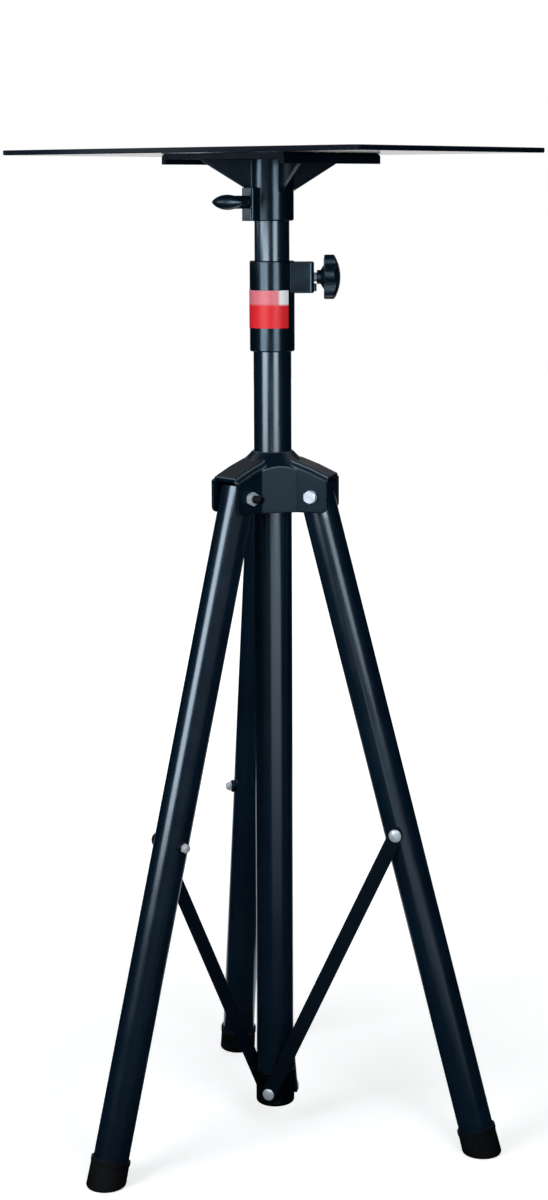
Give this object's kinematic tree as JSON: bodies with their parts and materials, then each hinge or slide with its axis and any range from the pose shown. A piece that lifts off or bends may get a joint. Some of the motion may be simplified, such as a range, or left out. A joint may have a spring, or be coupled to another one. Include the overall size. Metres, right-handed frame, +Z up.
{
  "type": "projector stand",
  "caption": "Folding tripod stand with a telescopic pole, star-knob clamp, sliding leg hub, bar struts, rubber feet and a flat swivelling rectangular tray for a projector.",
  "frame": {"origin": "on the column axis at floor level, midway between the feet", "axes": "+Z up along the column, +Y from the column towards one leg, +X to the right of that leg seen from the front"},
  "size_m": [0.5192, 0.5352, 1.007],
  "materials": {
    "tube_paint": "semi-gloss black powder coat",
    "black_plastic": "fine-grained black moulding",
    "knob_plastic": "satin black moulding",
    "bracket_paint": "black powder coat",
    "board": "satin black laminate",
    "rubber": "matte black",
    "zinc_steel": "bright zinc plating",
    "label_red": "plain red and white film, no lettering"
  },
  "bodies": {
    "column": {"column_tube": "tube_paint", "column_foot": "black_plastic", "column_sleeve": "black_plastic", "label_band": "label_red"},
    "pole": {"pole_tube": "tube_paint", "pole_plug": "black_plastic"},
    "head": {"head_socket": "black_plastic", "tray_bracket": "bracket_paint", "tray_board": "board"},
    "swivel_handle_set": {"swivel_handle": "knob_plastic", "handle_screw": "zinc_steel"},
    "clamp_knob_set": {"clamp_knob": "knob_plastic", "clamp_screw": "zinc_steel"},
    "hub": {"hub_body": "black_plastic", "hub_bolt_1": "zinc_steel", "hub_bolt_2": "zinc_steel", "hub_bolt_3": "zinc_steel"},
    "leg_1": {"leg_tube_1": "tube_paint", "leg_foot_1": "rubber", "strut_bolt_1": "zinc_steel"},
    "strut_1": {"strut_1": "tube_paint", "strut_pin_1": "zinc_steel"},
    "leg_2": {"leg_tube_2": "tube_paint", "leg_foot_2": "rubber", "strut_bolt_2": "zinc_steel"},
    "strut_2": {"strut_2": "tube_paint", "strut_pin_2": "zinc_steel"},
    "leg_3": {"leg_tube_3": "tube_paint", "leg_foot_3": "rubber", "strut_bolt_3": "zinc_steel"},
    "strut_3": {"strut_3": "tube_paint", "strut_pin_3": "zinc_steel"}
  },
  "joints": [
    {"name": "hub_slide", "type": "slide", "parent": "column", "child": "hub", "axis": [0, 0, 1], "range_m": [0, 0.0382]},
    {"name": "leg_1_hinge", "type": "hinge", "parent": "hub", "child": "leg_1", "pos_m": [0, 0.0465, 0.66403], "axis": [1, 0, 0], "range_deg": [-14.9, 0.2]},
    {"name": "strut_1_hinge", "type": "hinge", "parent": "leg_1", "child": "strut_1", "pos_m": [0, 0.13493, 0.32694], "axis": [1, 0, 0], "range_deg": [-0.2, 31.71]},
    {"name": "leg_2_hinge", "type": "hinge", "parent": "hub", "child": "leg_2", "pos_m": [-0.04027, -0.02325, 0.66403], "axis": [-0.5, 0.866, 0], "range_deg": [-14.9, 0.2]},
    {"name": "strut_2_hinge", "type": "hinge", "parent": "leg_2", "child": "strut_2", "pos_m": [-0.11686, -0.06747, 0.32694], "axis": [-0.5, 0.866, 0], "range_deg": [-0.2, 31.71]},
    {"name": "leg_3_hinge", "type": "hinge", "parent": "hub", "child": "leg_3", "pos_m": [0.04027, -0.02325, 0.66403], "axis": [-0.5, -0.866, 0], "range_deg": [-14.9, 0.2]},
    {"name": "strut_3_hinge", "type": "hinge", "parent": "leg_3", "child": "strut_3", "pos_m": [0.11686, -0.06747, 0.32694], "axis": [-0.5, -0.866, 0], "range_deg": [-0.2, 31.71]},
    {"name": "pole_slide", "type": "slide", "parent": "column", "child": "pole", "axis": [0, 0, 1], "range_m": [0, 0.6]},
    {"name": "head_swivel", "type": "hinge", "parent": "pole", "child": "head", "pos_m": [0, 0, 0.95], "axis": [0, 0, 1], "continuous": true},
    {"name": "swivel_handle_turn", "type": "hinge", "parent": "head", "child": "swivel_handle_set", "pos_m": [-0.04842, -0.02156, 0.955], "axis": [-0.9135, -0.4067, 0], "continuous": true},
    {"name": "clamp_knob_turn", "type": "hinge", "parent": "column", "child": "clamp_knob_set", "pos_m": [0.05399, -0.01049, 0.8805], "axis": [0.9816, -0.1908, 0], "continuous": true}
  ],
  "couplings": [
    {"joint": "leg_1_hinge", "follows": "hub_slide", "rad_per_m": -6.7163},
    {"joint": "strut_1_hinge", "follows": "hub_slide", "rad_per_m": 14.395},
    {"joint": "leg_2_hinge", "follows": "hub_slide", "rad_per_m": -6.7163},
    {"joint": "strut_2_hinge", "follows": "hub_slide", "rad_per_m": 14.395},
    {"joint": "leg_3_hinge", "follows": "hub_slide", "rad_per_m": -6.7163},
    {"joint": "strut_3_hinge", "follows": "hub_slide", "rad_per_m": 14.395}
  ]
}
